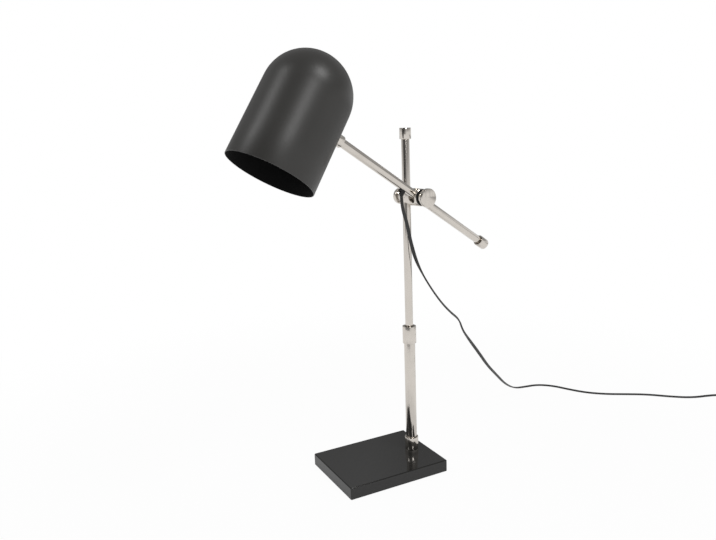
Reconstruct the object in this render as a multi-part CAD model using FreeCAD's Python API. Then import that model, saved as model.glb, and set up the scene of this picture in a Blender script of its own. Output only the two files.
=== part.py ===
import FreeCAD, Part
import math
import os

# Dome shade desk lamp with a stone base, a two-piece telescopic post and a cross clamp
# that carries a sliding, tilting arm. Millimetres, +Z up. The origin is on the desk,
# under the middle of the base; +X runs along the base towards the post.

Vector = FreeCAD.Vector

# ---------------------------------------------------------------- driving dimensions

SLAB_LENGTH = 165.0
SLAB_WIDTH = 127.0
SLAB_THICKNESS = 18.0
FELT_THICKNESS = 1.0
POST_X = 59.0                # post axis, from the middle of the slab

LOWER_TUBE_DIAMETER = 16.0
UPPER_TUBE_DIAMETER = 12.0   # the upper post tube and the arm are the same stock
TUBE_WALL = 1.0
FOOT_COLLAR_TOP = 39.0
HEIGHT_COLLAR_BOTTOM = 193.0
HEIGHT_COLLAR_TOP = 220.0
COLLAR_DIAMETER = 21.0
POST_TOP = 519.0
CAP_DIAMETER = 16.8
CAP_LENGTH = 19.0

CLAMP_HEIGHT = 418.0         # where the clamp axis crosses the post
CLAMP_DIAMETER = 21.5
ARM_OFFSET = 26.0            # arm axis in front of the post axis, along the clamp axis
CLAMP_SWIVEL = 8.2           # degrees, how far the clamp is turned round the post
ARM_TILT = 32.3              # degrees, how far the shade end is raised
ARM_TILT_HIGHEST = 65.0      # degrees, where the windows of the clamp stop the arm
ARM_TAIL = 164.5             # clamp axis to the free end of the arm
SHADE_REACH = 228.0          # clamp axis to shade axis, along the arm

SHADE_DIAMETER = 118.0
SHADE_WALL = 1.0
SHADE_BELOW_ARM = 88.0       # arm axis to rim
SHADE_ABOVE_ARM = 22.0       # arm axis to the centre of the dome

CORD_DIAMETER = 5.4          # width of the flat twin cord
RUNNING_FIT = 0.05           # radial play of a shaft in its hole

# -------------------------------------------------------------------- shared geometry

UP = Vector(0, 0, 1)
SLAB_BOTTOM = FELT_THICKNESS
SLAB_TOP = FELT_THICKNESS + SLAB_THICKNESS
LOWER_TUBE_RADIUS = LOWER_TUBE_DIAMETER / 2
UPPER_TUBE_RADIUS = UPPER_TUBE_DIAMETER / 2
LOWER_BORE = LOWER_TUBE_RADIUS - TUBE_WALL
UPPER_BORE = UPPER_TUBE_RADIUS - TUBE_WALL
CAP_RADIUS = CAP_DIAMETER / 2
CLAMP_RADIUS = CLAMP_DIAMETER / 2
CORD_RADIUS = CORD_DIAMETER / 2
SHADE_RADIUS = SHADE_DIAMETER / 2
SHADE_BORE = SHADE_RADIUS - SHADE_WALL
LAMP_THREAD = 5.0            # outer radius of the M10 lamp thread
LAMP_THREAD_BORE = 3.5


def tangent_path(points, radii, closed=False):
    """Straight runs through the points, joined at each corner by a tangent arc."""
    count = len(points)
    corners = []
    for i, point in enumerate(points):
        if radii[i] == 0 or (not closed and i in (0, count - 1)):
            corners.append((point, None, point))
            continue
        before = (point - points[i - 1]).normalize()
        after = (points[(i + 1) % count] - point).normalize()
        half_turn = before.getAngle(after) / 2
        setback = radii[i] * math.tan(half_turn)
        inward = (after - before).normalize()
        middle = point + inward * (radii[i] / math.cos(half_turn) - radii[i])
        corners.append((point - before * setback, middle, point + after * setback))
    edges = []
    last = count if closed else count - 1
    for i, (start, middle, end) in enumerate(corners):
        if middle is not None:
            edges.append(Part.Arc(start, middle, end).toShape())
        if i < last:
            next_start = corners[(i + 1) % count][0]
            if (next_start - end).Length > 1e-6:
                edges.append(Part.LineSegment(end, next_start).toShape())
    return Part.Wire(edges)


def turned(outline):
    """Revolve an outline about Z. Each entry is radius, height and, if it has one, its chamfer."""
    corners = []
    for i, (radius, height, *chamfer) in enumerate(outline):
        corner = Vector(radius, 0, height)
        if not chamfer:
            corners.append(corner)
            continue
        for neighbour in (outline[i - 1], outline[(i + 1) % len(outline)]):
            way = (Vector(neighbour[0], 0, neighbour[1]) - corner).normalize()
            corners.append(corner + way * chamfer[0])
    face = Part.Face(Part.makePolygon(corners + corners[:1]))
    return face.revolve(Vector(0, 0, 0), UP, 360)


def drum(radius, low, high):
    return Part.makeCylinder(radius, high - low, Vector(0, 0, low))


def ring(outer, inner, low, high):
    return turned([(inner, low), (outer, low), (outer, high), (inner, high)])


def hexagon(across_flats, low, high):
    corner = across_flats / math.sqrt(3)
    points = [Vector(corner * math.cos(math.radians(60 * i)),
                     corner * math.sin(math.radians(60 * i)), low) for i in range(7)]
    return Part.Face(Part.makePolygon(points)).extrude(UP * (high - low))


def block(x0, x1, y0, y1, z0, z1):
    return Part.makeBox(x1 - x0, y1 - y0, z1 - z0, Vector(x0, y0, z0))


def moved(shape, x=0.0, y=0.0, z=0.0):
    return shape.translated(Vector(x, y, z))


def along_clamp(shape):
    """Lay a piece turned about Z on the clamp axis: its heights become distances forward."""
    return shape.rotated(Vector(0, 0, 0), Vector(1, 0, 0), 90)


def along_arm(shape):
    """Lay a piece turned about Z along the arm: its heights become distances to the free end."""
    return shape.rotated(Vector(0, 0, 0), Vector(0, 1, 0), 90)


def on_post(shape):
    return moved(shape, x=POST_X)


def on_clamp(shape):
    """From the clamp's frame (X along the level arm, -Y forward) to the lamp's."""
    turned_shape = shape.rotated(Vector(0, 0, 0), UP, CLAMP_SWIVEL)
    return moved(turned_shape, x=POST_X, z=CLAMP_HEIGHT)


def on_arm(shape):
    """From the arm's frame (X to the free end, Z square to the arm) to the lamp's."""
    tilted = shape.rotated(Vector(0, 0, 0), Vector(0, 1, 0), ARM_TILT)
    return on_clamp(moved(tilted, y=-ARM_OFFSET))


def arm_point(x, y, z):
    return on_arm(Part.Vertex(x, y, z)).Vertexes[0].Point


# --------------------------------------------------------------------- base and foot

STUD_HOLE = 5.25
RECESS_RADIUS = 15.0
RECESS_DEPTH = 9.0


def base_slab():
    """Polished stone slab, its top edges and corners lightly bevelled."""
    half_length = SLAB_LENGTH / 2
    half_width = SLAB_WIDTH / 2
    bevel = 1.2
    slab = block(-half_length, half_length, -half_width, half_width, SLAB_BOTTOM, SLAB_TOP)
    eased = [edge for edge in slab.Edges if edge.BoundBox.ZMax > SLAB_TOP - 0.01]
    slab = slab.makeChamfer(bevel, eased)
    stud_hole = on_post(drum(STUD_HOLE, SLAB_BOTTOM - 1, SLAB_TOP + 1))
    recess = on_post(drum(RECESS_RADIUS, SLAB_BOTTOM - 1, SLAB_BOTTOM + RECESS_DEPTH))
    return slab.cut(stud_hole).cut(recess)


def felt_pad():
    margin = 3.0
    corner = 4.0
    half_length = SLAB_LENGTH / 2 - margin
    half_width = SLAB_WIDTH / 2 - margin
    points = [Vector(-half_length, -half_width, 0), Vector(half_length, -half_width, 0),
              Vector(half_length, half_width, 0), Vector(-half_length, half_width, 0)]
    outline = tangent_path(points, [corner] * 4, closed=True)
    return Part.Face(outline).extrude(UP * FELT_THICKNESS)


def base_washer():
    top = SLAB_BOTTOM + RECESS_DEPTH
    return on_post(ring(14.0, STUD_HOLE, top - 2.0, top))


def base_nut():
    top = SLAB_BOTTOM + RECESS_DEPTH - 2.0
    nut = hexagon(17.0, top - 5.0, top).cut(drum(LAMP_THREAD, top - 6.0, top + 1.0))
    return on_post(nut)


def tie_rod():
    """Threaded tube that draws the post down on to the slab."""
    return on_post(ring(LAMP_THREAD, LAMP_THREAD_BORE, SLAB_BOTTOM + 1.0, SLAB_TOP + 22.0))


def tube_plug():
    """Plug pressed into the foot of the lower tube and tapped for the tie rod."""
    return on_post(ring(LOWER_BORE, LAMP_THREAD, SLAB_TOP, SLAB_TOP + 24.0))


def foot_collar():
    """Collar that hides the joint of post and slab."""
    radius = COLLAR_DIAMETER / 2
    bore = LOWER_TUBE_RADIUS
    collar = turned([(bore, SLAB_TOP), (radius, SLAB_TOP, 0.5), (radius, FOOT_COLLAR_TOP, 0.8),
                     (bore, FOOT_COLLAR_TOP)])
    return on_post(collar.cut(foot_screw_hole()))


def foot_screw_hole():
    height = SLAB_TOP + 9.0
    return Part.makeCylinder(1.5, 6.0, Vector(0, LOWER_TUBE_RADIUS, height), Vector(0, 1, 0))


def foot_set_screw():
    """Headless screw in the back of the foot collar, with its hexagon socket."""
    height = SLAB_TOP + 9.0
    start = Vector(0, LOWER_TUBE_RADIUS, height)
    back = Vector(0, 1, 0)
    screw = Part.makeCylinder(1.5, 2.2, start, back)
    socket = hexagon(1.5, 0, 2.0).rotated(Vector(0, 0, 0), Vector(1, 0, 0), -90)
    return on_post(screw.cut(moved(socket, y=LOWER_TUBE_RADIUS + 1.0, z=height)))


# ------------------------------------------------------------------- telescopic post

COLLAR_SHOULDER = 214.0      # top of the lower tube, inside the height collar
COLLET_BOTTOM = 196.0
GUIDE_BOTTOM = 104.0
UPPER_TUBE_BOTTOM = 112.0


def lower_tube():
    return on_post(ring(LOWER_TUBE_RADIUS, LOWER_BORE, SLAB_TOP, COLLAR_SHOULDER))


def post_collet():
    """Split nylon collet that the height collar squeezes on to the upper tube."""
    bore = UPPER_TUBE_RADIUS + RUNNING_FIT
    top = HEIGHT_COLLAR_TOP - 1.5
    collet = ring(LOWER_BORE, bore, COLLET_BOTTOM, top)
    slit = block(0, LOWER_BORE + 1, -0.6, 0.6, COLLET_BOTTOM + 6.0, top + 1.0)
    return on_post(collet.cut(slit))


def height_collar():
    """Twist collar over the top of the lower tube. Its mouth shows a dark gap round the tube."""
    radius = COLLAR_DIAMETER / 2
    skirt = LOWER_TUBE_RADIUS + RUNNING_FIT
    mouth = LOWER_BORE + 0.1
    shoulder = COLLAR_SHOULDER + 0.3
    collar = turned([(skirt, HEIGHT_COLLAR_BOTTOM), (radius, HEIGHT_COLLAR_BOTTOM, 0.8),
                     (radius, HEIGHT_COLLAR_TOP, 0.8), (mouth, HEIGHT_COLLAR_TOP),
                     (mouth, shoulder), (skirt, shoulder)])
    return on_post(collar)


def upper_guide():
    """Nylon foot of the upper tube that slides in the lower one."""
    slide = LOWER_BORE - RUNNING_FIT
    guide = turned([(0, GUIDE_BOTTOM), (slide, GUIDE_BOTTOM, 1.0), (slide, UPPER_TUBE_BOTTOM),
                    (UPPER_BORE, UPPER_TUBE_BOTTOM), (UPPER_BORE, UPPER_TUBE_BOTTOM + 12.0),
                    (0, UPPER_TUBE_BOTTOM + 12.0)])
    return on_post(guide)


def upper_tube():
    return on_post(ring(UPPER_TUBE_RADIUS, UPPER_BORE, UPPER_TUBE_BOTTOM, POST_TOP - 2.5))


def end_cap_outline():
    """Turned cap for a tube end: closed face at height 0, open mouth at the cap's length."""
    depth = 2.5
    return [(0, 0), (CAP_RADIUS, 0, 1.2), (CAP_RADIUS, CAP_LENGTH, 0.9),
            (UPPER_TUBE_RADIUS + 0.7, CAP_LENGTH), (UPPER_TUBE_RADIUS, CAP_LENGTH - 0.8),
            (UPPER_TUBE_RADIUS, depth), (0, depth)]


def top_cap():
    upside_down = turned(end_cap_outline()).rotated(Vector(0, 0, 0), Vector(1, 0, 0), 180)
    return on_post(moved(upside_down, z=POST_TOP))


# ---------------------------------------------------------------------- cross clamp

CLAMP_BACK = -11.5           # rear face of the clamp body, behind the post axis
CLAMP_FRONT = 35.0
LINER_RADIUS = 6.9
BARREL_RADIUS = 8.5
BARREL_BACK = 15.0
WINDOW_HALF_WIDTH = 6.45
KNOB_THREAD = 4.0
SHOE_THICKNESS = 1.6


def clamp_liner():
    """Nylon bush that the clamp turns on and that slides on the post."""
    half_height = CLAMP_RADIUS + 1.2
    return on_clamp(ring(LINER_RADIUS, UPPER_TUBE_RADIUS + RUNNING_FIT, -half_height, half_height))


def arm_window(side):
    """Room swept by the arm between level and its highest tilt, on one side of the clamp."""
    reach = CLAMP_RADIUS + 6.0
    level = Vector(side * reach, 0, 0)
    tilt = math.radians(ARM_TILT_HIGHEST)
    steep = Vector(side * reach * math.cos(tilt), 0, -side * reach * math.sin(tilt))
    ends = [Part.makeCylinder(WINDOW_HALF_WIDTH, reach, Vector(0, 0, 0), direction)
            for direction in (level, steep)]
    face = Part.Face(Part.makePolygon([Vector(0, 0, 0), level, steep, Vector(0, 0, 0)]))
    middle = moved(face, y=-WINDOW_HALF_WIDTH).extrude(Vector(0, 2 * WINDOW_HALF_WIDTH, 0))
    return moved(middle.fuse(ends), y=-ARM_OFFSET)


def clamp_body():
    """Turned body: post bore at the back, arm barrel in front, a curved window each side."""
    bored = along_clamp(turned([
        (0, CLAMP_BACK), (CLAMP_RADIUS, CLAMP_BACK, 0.6), (CLAMP_RADIUS, CLAMP_FRONT, 0.6),
        (BARREL_RADIUS + RUNNING_FIT, CLAMP_FRONT), (BARREL_RADIUS + RUNNING_FIT, BARREL_BACK - 1.0),
        (0, BARREL_BACK - 1.0)]))
    post_bore = drum(LINER_RADIUS + RUNNING_FIT, -20, 20)
    screw_hole = along_clamp(drum(KNOB_THREAD + RUNNING_FIT, CLAMP_BACK - 1, 0))
    body = bored.cut(post_bore).cut(screw_hole)
    for side in (-1, 1):
        body = body.cut(arm_window(side))
    return on_clamp(body)


def knob(face, shoulder, neck_end, head_radius, neck_radius, stem_end):
    """Smooth turned thumb knob with a neck and a threaded stem, measured along the clamp."""
    return turned([(0, face), (head_radius, face, 1.0), (head_radius, shoulder, 0.8),
                   (neck_radius, shoulder), (neck_radius, neck_end), (KNOB_THREAD, neck_end),
                   (KNOB_THREAD, stem_end), (0, stem_end)])


def rear_knob():
    """Knob behind the post: its stem locks the clamp's height and swivel."""
    shape = knob(-19.5, CLAMP_BACK - 0.1, CLAMP_BACK - 0.1, CLAMP_RADIUS, KNOB_THREAD + 2,
                 -LINER_RADIUS - 0.4)
    return on_clamp(along_clamp(shape))


def tilt_washer():
    """Fibre washer behind the barrel that makes the tilt stiff."""
    front = BARREL_BACK - RUNNING_FIT
    return on_clamp(along_clamp(ring(BARREL_RADIUS - 0.3, 2.5, BARREL_BACK - 1.0, front)))


def arm_barrel():
    """Inner barrel that carries the arm in its cross bore and turns in the clamp body."""
    front = CLAMP_FRONT - 0.4
    barrel = along_clamp(drum(BARREL_RADIUS, BARREL_BACK, front))
    screw_hole = along_clamp(drum(KNOB_THREAD + RUNNING_FIT, ARM_OFFSET, front + 1))
    barrel = moved(barrel.cut(screw_hole), y=ARM_OFFSET)
    arm_bore = along_arm(drum(UPPER_TUBE_RADIUS + RUNNING_FIT, -20, 20))
    barrel = barrel.rotated(Vector(0, 0, 0), Vector(0, 1, 0), -ARM_TILT).cut(arm_bore)
    return on_arm(barrel)


def front_knob():
    """Knob in front of the arm: its stem locks the arm's slide and draws the barrel tight."""
    shape = knob(46.5, 38.0, CLAMP_FRONT + 0.1, 13.5, 9.4, ARM_OFFSET + UPPER_TUBE_RADIUS + 0.4)
    return on_clamp(along_clamp(shape))


# -------------------------------------------------------------------------- the arm

FERRULE_FACE = -(SHADE_REACH - SHADE_RADIUS) + 0.3
FERRULE_LENGTH = 13.7
FERRULE_FLOOR = 5.0
NIPPLE_END = -188.0
LEAD_RADIUS = 2.2
GROMMET_X = -29.0
NOSE_LENGTH = 6.0            # the grommet's nose, below its flange
NOSE_BORE_DEPTH = 4.0


def arm_tube():
    """Chromed tube, notched on its underside where the cord comes out."""
    tube = along_arm(ring(UPPER_TUBE_RADIUS, UPPER_BORE, FERRULE_FACE + FERRULE_FLOOR,
                          ARM_TAIL - 2.5))
    cord_hole = moved(drum(4.0, -UPPER_TUBE_RADIUS - 1, 0), x=GROMMET_X)
    return on_arm(tube.cut(cord_hole))


def arm_end_cap():
    cap = turned(end_cap_outline()).rotated(Vector(0, 0, 0), Vector(1, 0, 0), 180)
    return on_arm(along_arm(moved(cap, z=ARM_TAIL)))


def shade_ferrule():
    """Turned ferrule on the shade end of the arm, tapped for the hollow nipple."""
    length = FERRULE_LENGTH
    ferrule = turned([(LAMP_THREAD, 0), (CAP_RADIUS, 0, 0.5), (CAP_RADIUS, length, 0.9),
                      (UPPER_TUBE_RADIUS + 0.7, length), (UPPER_TUBE_RADIUS, length - 0.8),
                      (UPPER_TUBE_RADIUS, FERRULE_FLOOR), (LAMP_THREAD, FERRULE_FLOOR)])
    return on_arm(along_arm(moved(ferrule, z=FERRULE_FACE)))


def shade_nipple():
    return on_arm(along_arm(ring(LAMP_THREAD, LAMP_THREAD_BORE, NIPPLE_END, FERRULE_FACE + 9.0)))


def nipple_washer():
    """Spring washer that keeps the shade stiff to turn."""
    return on_arm(along_arm(ring(9.0, LAMP_THREAD, BRACKET_FACE - 3.25, BRACKET_FACE - 2.1)))


def nipple_nut():
    low = BRACKET_FACE - 7.3
    nut = hexagon(17.0, low, low + 4.0).cut(drum(LAMP_THREAD, low - 1, low + 5))
    return on_arm(along_arm(nut))


def cord_exit():
    """The tip of the grommet, on the cord's axis."""
    return arm_point(GROMMET_X, 0, -UPPER_TUBE_RADIUS - 3.0) - UP * NOSE_LENGTH


def cord_grommet():
    """Rubber grommet under the arm: an oval flange and a short nose that points down."""
    flange = Part.Face(Part.Wire(Part.Ellipse(Vector(0, 0, 0), 6.4, 4.6).toShape()))
    flange = moved(flange, x=GROMMET_X, z=-UPPER_TUBE_RADIUS - 2.8).extrude(UP * 5.0)
    plug = moved(drum(3.95, -UPPER_TUBE_RADIUS, -UPPER_BORE + 0.6), x=GROMMET_X)
    flange = flange.cut(along_arm(drum(UPPER_TUBE_RADIUS, -60, 0)))
    tip = cord_exit()
    nose = Part.makeCone(CORD_RADIUS + 0.7, CORD_RADIUS + 1.7, NOSE_LENGTH + 1.0, tip, UP)
    bore = Part.makeCylinder(CORD_RADIUS + RUNNING_FIT, NOSE_BORE_DEPTH, tip, UP)
    body = on_arm(flange.fuse(plug)).fuse(nose)
    inside = on_arm(along_arm(drum(UPPER_BORE - 0.6, -60, 0)))
    return body.cut(inside).cut(bore)


def arm_lead():
    """The cord's hidden stretch, from the grommet along the arm and through the nipple."""
    points = [arm_point(NIPPLE_END, 0, 0), arm_point(GROMMET_X, 0, 0), arm_point(GROMMET_X, 0, -3.8)]
    return swept_tube(tangent_path(points, [0, 3.5, 0]), LEAD_RADIUS)


# ------------------------------------------------------------ shade and lampholder

BRACKET_FACE = -(SHADE_REACH - SHADE_BORE) - 1.0
STRAP_THICKNESS = 2.0
STRAP_HALF_WIDTH = 10.0
STRAP_HEIGHT = 56.0          # underside of the strap that the lampholder hangs from
HOLDER_RADIUS = 19.5
HOLDER_MOUTH = 4.0
HOLDER_WAIST = 41.0
HOLDER_WALL = 2.0
SOCKET_RADIUS = 13.3         # inside of the screw shell
SHELL_MOUTH = HOLDER_MOUTH + 3.0
SHELL_PITCH = 3.6
SHELL_RIDGES = 6
SHELL_TOP = SHELL_MOUTH + SHELL_RIDGES * SHELL_PITCH
CONTACT_FLOOR = SHELL_TOP + 4.0


def shade_shell():
    """Spun steel cylinder with a half-round dome, open below, pierced for the nipple."""
    rim = -SHADE_BELOW_ARM
    half = Vector(math.sqrt(0.5), 0, math.sqrt(0.5))
    centre = Vector(0, 0, SHADE_ABOVE_ARM)
    outer_top = centre + UP * SHADE_RADIUS
    inner_top = centre + UP * SHADE_BORE
    outer_side = centre + Vector(SHADE_RADIUS, 0, 0)
    inner_side = centre + Vector(SHADE_BORE, 0, 0)
    outer_rim = Vector(SHADE_RADIUS, 0, rim)
    inner_rim = Vector(SHADE_BORE, 0, rim)
    wall = Part.Wire([
        Part.Arc(outer_top, centre + half * SHADE_RADIUS, outer_side).toShape(),
        Part.LineSegment(outer_side, outer_rim).toShape(),
        Part.LineSegment(outer_rim, inner_rim).toShape(),
        Part.LineSegment(inner_rim, inner_side).toShape(),
        Part.Arc(inner_side, centre + half * SHADE_BORE, inner_top).toShape(),
        Part.LineSegment(inner_top, outer_top).toShape()])
    shell = Part.Face(wall).revolve(Vector(0, 0, 0), UP, 360)
    nipple_hole = along_arm(drum(LAMP_THREAD + 0.1, 0, SHADE_RADIUS + 5))
    return on_arm(moved(shell.cut(nipple_hole), x=-SHADE_REACH))


def holder_bracket():
    """Bent steel strap from the nipple up to the lampholder."""
    face = BRACKET_FACE
    inner = face - STRAP_THICKNESS
    top = STRAP_HEIGHT + STRAP_THICKNESS
    far = -SHADE_REACH - 12.0
    outline = [(face, -12), (face, 18), (face - 15, top), (far, top), (far, STRAP_HEIGHT),
               (inner - 14.2, STRAP_HEIGHT), (inner, 18.8), (inner, -12)]
    bends = [0, 6.0, 4.0, 0, 0, 2.0, 4.0, 0]
    points = [Vector(x, -STRAP_HALF_WIDTH, z) for x, z in outline]
    strap = Part.Face(tangent_path(points, bends, closed=True))
    strap = strap.extrude(Vector(0, 2 * STRAP_HALF_WIDTH, 0))
    nipple_hole = along_arm(drum(LAMP_THREAD + 0.1, face - 10, face + 1))
    holder_hole = moved(drum(LAMP_THREAD, 50, 70), x=-SHADE_REACH)
    return on_arm(strap.cut(nipple_hole).cut(holder_hole))


def on_holder(shape):
    return on_arm(moved(shape, x=-SHADE_REACH))


def holder_nipple():
    return on_holder(ring(LAMP_THREAD, LAMP_THREAD_BORE, STRAP_HEIGHT - 7.0, STRAP_HEIGHT + 9.0))


def holder_nut():
    low = STRAP_HEIGHT + STRAP_THICKNESS
    return on_holder(hexagon(14.0, low, low + 3.5).cut(drum(LAMP_THREAD, low - 1, low + 5)))


def holder_cap():
    """Domed top of the lampholder, tapped for its nipple, with a side hole for the lead."""
    top = STRAP_HEIGHT
    waist = HOLDER_WAIST
    cap = turned([(LAMP_THREAD, top), (9.0, top, 1.0), (9.0, top - 4.0, 1.0),
                  (HOLDER_RADIUS - 1.5, waist + 6.0, 3.0), (HOLDER_RADIUS - 1.5, waist),
                  (HOLDER_RADIUS - 3.5, waist), (HOLDER_RADIUS - 3.5, waist + 5.0),
                  (LAMP_THREAD, top - 7.0)])
    return on_holder(cap.cut(moved(lead_hole(), x=SHADE_REACH)))


def holder_sleeve():
    """Outer barrel of the lampholder, with two grip ribs at its mouth."""
    r = HOLDER_RADIUS
    bore = r - HOLDER_WALL
    return on_holder(turned([
        (bore, HOLDER_MOUTH), (r, HOLDER_MOUTH, 0.8), (r, HOLDER_MOUTH + 5, 0.5),
        (r - 1.0, HOLDER_MOUTH + 5.5), (r - 1.0, HOLDER_MOUTH + 8), (r, HOLDER_MOUTH + 8.5, 0.5),
        (r, HOLDER_WAIST, 0.8), (bore, HOLDER_WAIST)]))


def screw_shell():
    """Brass shell of the lampholder with its rolled screw ridges outside the bore."""
    outer = SOCKET_RADIUS + 0.6
    outline = [(SOCKET_RADIUS, SHELL_MOUTH)]
    for i in range(SHELL_RIDGES):
        start = SHELL_MOUTH + i * SHELL_PITCH
        outline += [(outer, start), (outer + 1.0, start + SHELL_PITCH / 2)]
    outline += [(outer, SHELL_TOP), (SOCKET_RADIUS, SHELL_TOP)]
    return on_holder(turned(outline))


def contact_carrier():
    """Insulating cup of the lampholder: its rim bears on the shell, its floor holds the contact."""
    edge = HOLDER_RADIUS - HOLDER_WALL - 0.02
    recess = SOCKET_RADIUS + 0.5
    back = CONTACT_FLOOR + 4.0
    return on_holder(turned([(2.0, CONTACT_FLOOR), (recess, CONTACT_FLOOR), (recess, SHELL_TOP),
                             (edge, SHELL_TOP), (edge, back, 0.8), (2.0, back)]))


def centre_contact():
    """Sprung brass tongue in the middle of the lampholder's floor."""
    low = CONTACT_FLOOR
    outline = [(-7, low - 0.6), (-4, low - 0.6), (2, low - 3.6), (5, low - 3.6), (5, low - 3.0),
               (2.4, low - 3.0), (-3.6, low), (-7, low)]
    points = [Vector(x, -3.0, z) for x, z in outline]
    tongue = Part.Face(Part.makePolygon(points + [points[0]])).extrude(Vector(0, 6, 0))
    return on_holder(tongue)


LEAD_ROUTE = [(NIPPLE_END, 0, 0), (-196, 0, 0), (-200, 0, 22), (-199, 0, 47), (-209, 0, 48.5)]


def lead_path():
    points = [arm_point(*entry) for entry in LEAD_ROUTE]
    return tangent_path(points, largest_radii(points))


def lead_hole():
    start = Vector(-200, 0, 47.5)
    return Part.makeCylinder(LEAD_RADIUS + 0.3, 20.0, start, Vector(-1, 0, 0.1))


def holder_lead():
    """Flexible lead from the nipple to the lampholder."""
    return swept_tube(lead_path(), LEAD_RADIUS)


# --------------------------------------------------------------- supply cord route

def largest_radii(points):
    """Radius for each corner: 0.45 of its shorter run, over the tangent of half its turn."""
    radii = [0.0]
    for before, here, after in zip(points, points[1:], points[2:]):
        shorter = min((here - before).Length, (after - here).Length)
        turn = (here - before).getAngle(after - here)
        radii.append(0.45 * shorter / math.tan(turn / 2))
    return radii + [0.0]


def swept_tube(path, radius):
    start = path.Edges[0].valueAt(path.Edges[0].FirstParameter)
    tangent = path.Edges[0].tangentAt(path.Edges[0].FirstParameter)
    section = Part.Wire(Part.makeCircle(radius, start, tangent))
    return path.makePipeShell([section], True, False)


CORD_REST = 2.8              # height of the cord's axis where it lies on the desk
CORD_DROP = 408.0            # the cord hangs straight down from its exit to this height
CORD_ROUTE = [
    (44.5, -24.8, 381.5), (51.5, -21.6, 352.0), (65.5, -15.0, 318.5),
    (91.5, -2.9, 283.5), (125.0, 12.8, 246.5), (154.0, 26.3, 221.0), (180.5, 38.6, 202.0),
    (191.0, 43.5, 180.0), (212.0, 53.3, 157.0), (245.0, 68.7, 122.5), (275.5, 82.9, 89.0),
    (306.0, 97.1, 62.0), (342.0, 113.9, 30.0), (378.0, 129.5, 9.0), (411.0, 139.0, CORD_REST),
    (441.0, 134.0, CORD_REST), (463.0, 112.0, CORD_REST), (475.0, 82.0, CORD_REST),
    (491.0, 51.0, CORD_REST), (517.0, 25.0, CORD_REST), (549.0, 4.0, CORD_REST),
    (580.0, -18.0, CORD_REST), (606.0, -47.0, CORD_REST), (635.0, -72.0, CORD_REST)]

SWITCH_LENGTH = 56.0
SWITCH_WIDTH = 22.0
SWITCH_HEIGHT = 15.0
SWITCH_CORD_HEIGHT = 4.6
SWITCH_CENTRE = Vector(712.0, -116.0, 0)
SWITCH_HEADING = -33.0       # degrees, the way the cord runs through the switch


def heading(degrees):
    return Vector(math.cos(math.radians(degrees)), math.sin(math.radians(degrees)), 0)


def supply_cord_path():
    into_switch = SWITCH_CENTRE - heading(SWITCH_HEADING) * (SWITCH_LENGTH / 2)
    into_switch.z = SWITCH_CORD_HEIGHT
    before_switch = into_switch - heading(SWITCH_HEADING) * 22.0
    tip = cord_exit()
    start = tip + UP * (NOSE_BORE_DEPTH - RUNNING_FIT)
    below = Vector(tip.x, tip.y, CORD_DROP)
    points = [start, below] + [Vector(*entry) for entry in CORD_ROUTE]
    points += [before_switch, into_switch]
    radii = largest_radii(points)
    print("cord radii", [round(r, 1) for r in radii[1:-1]])
    return tangent_path(points, radii)


def supply_cord():
    """Free stretch of the cord, from the grommet down to the desk and along to the switch."""
    path = supply_cord_path()
    tube = swept_tube(path, CORD_RADIUS)
    section = math.pi * CORD_RADIUS ** 2
    print("supply cord length", round(path.Length, 1),
          "volume over section and length", round(tube.Volume / section / path.Length, 4))
    return tube


# --------------------------------------------------------------------- coil of cord

COIL_TURNS = 3.25
COIL_OUTER_RADIUS = 35.0
COIL_PITCH = 6.1             # from one turn to the next, in a layer and between layers
COIL_LEAD_IN = 34.0
COIL_LEAD_OUT = 30.0


def arc_through(start, tangent, end):
    """Circular arc from start, leaving along tangent, to end."""
    chord = end - start
    angle = tangent.getAngle(chord)
    if angle < 1e-6:
        return Part.LineSegment(start, end).toShape()
    across = tangent - chord * (tangent.dot(chord) / chord.dot(chord))
    middle = start + chord * 0.5 + across.normalize() * (chord.Length / 2 * math.tan(angle / 2))
    return Part.Arc(start, middle, end).toShape()


def biarc(start, start_tangent, end, end_tangent):
    """Two arcs that join two points and their directions without a kink."""
    chord = end - start
    total = start_tangent + end_tangent
    spread = 2 * (1 - start_tangent.dot(end_tangent))
    if spread < 1e-9:
        reach = chord.dot(chord) / (2 * chord.dot(total))
    else:
        along = chord.dot(total)
        reach = (-along + math.sqrt(along ** 2 + spread * chord.dot(chord))) / spread
    joint = (start + start_tangent * reach + end - end_tangent * reach) * 0.5
    first = arc_through(start, start_tangent, joint)
    back = arc_through(end, end_tangent * -1, joint)
    middle = back.valueAt((back.FirstParameter + back.LastParameter) / 2)
    return [first, Part.Arc(joint, middle, end).toShape()]


def coil_centre():
    forward = heading(SWITCH_HEADING)
    left = heading(SWITCH_HEADING + 90)
    start = SWITCH_CENTRE + forward * (SWITCH_LENGTH / 2 + COIL_LEAD_IN)
    return start + left * COIL_OUTER_RADIUS


def coil_point(turns):
    """Point of the coil's axis: spiral in, climb a layer at the reversal, spiral out."""
    reversal = COIL_TURNS / 2
    radius = COIL_OUTER_RADIUS - COIL_PITCH * min(turns, COIL_TURNS - turns)
    climb = min(max((turns - reversal + 0.25) / 0.5, 0.0), 1.0)
    rise = (1 - math.cos(math.pi * climb)) / 2
    point = coil_centre() + heading(SWITCH_HEADING - 90 + 360 * turns) * radius
    point.z = CORD_REST + COIL_PITCH * rise
    return point


def coil_tangent(turns):
    step = 1e-4
    return (coil_point(turns + step) - coil_point(turns - step)).normalize()


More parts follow.
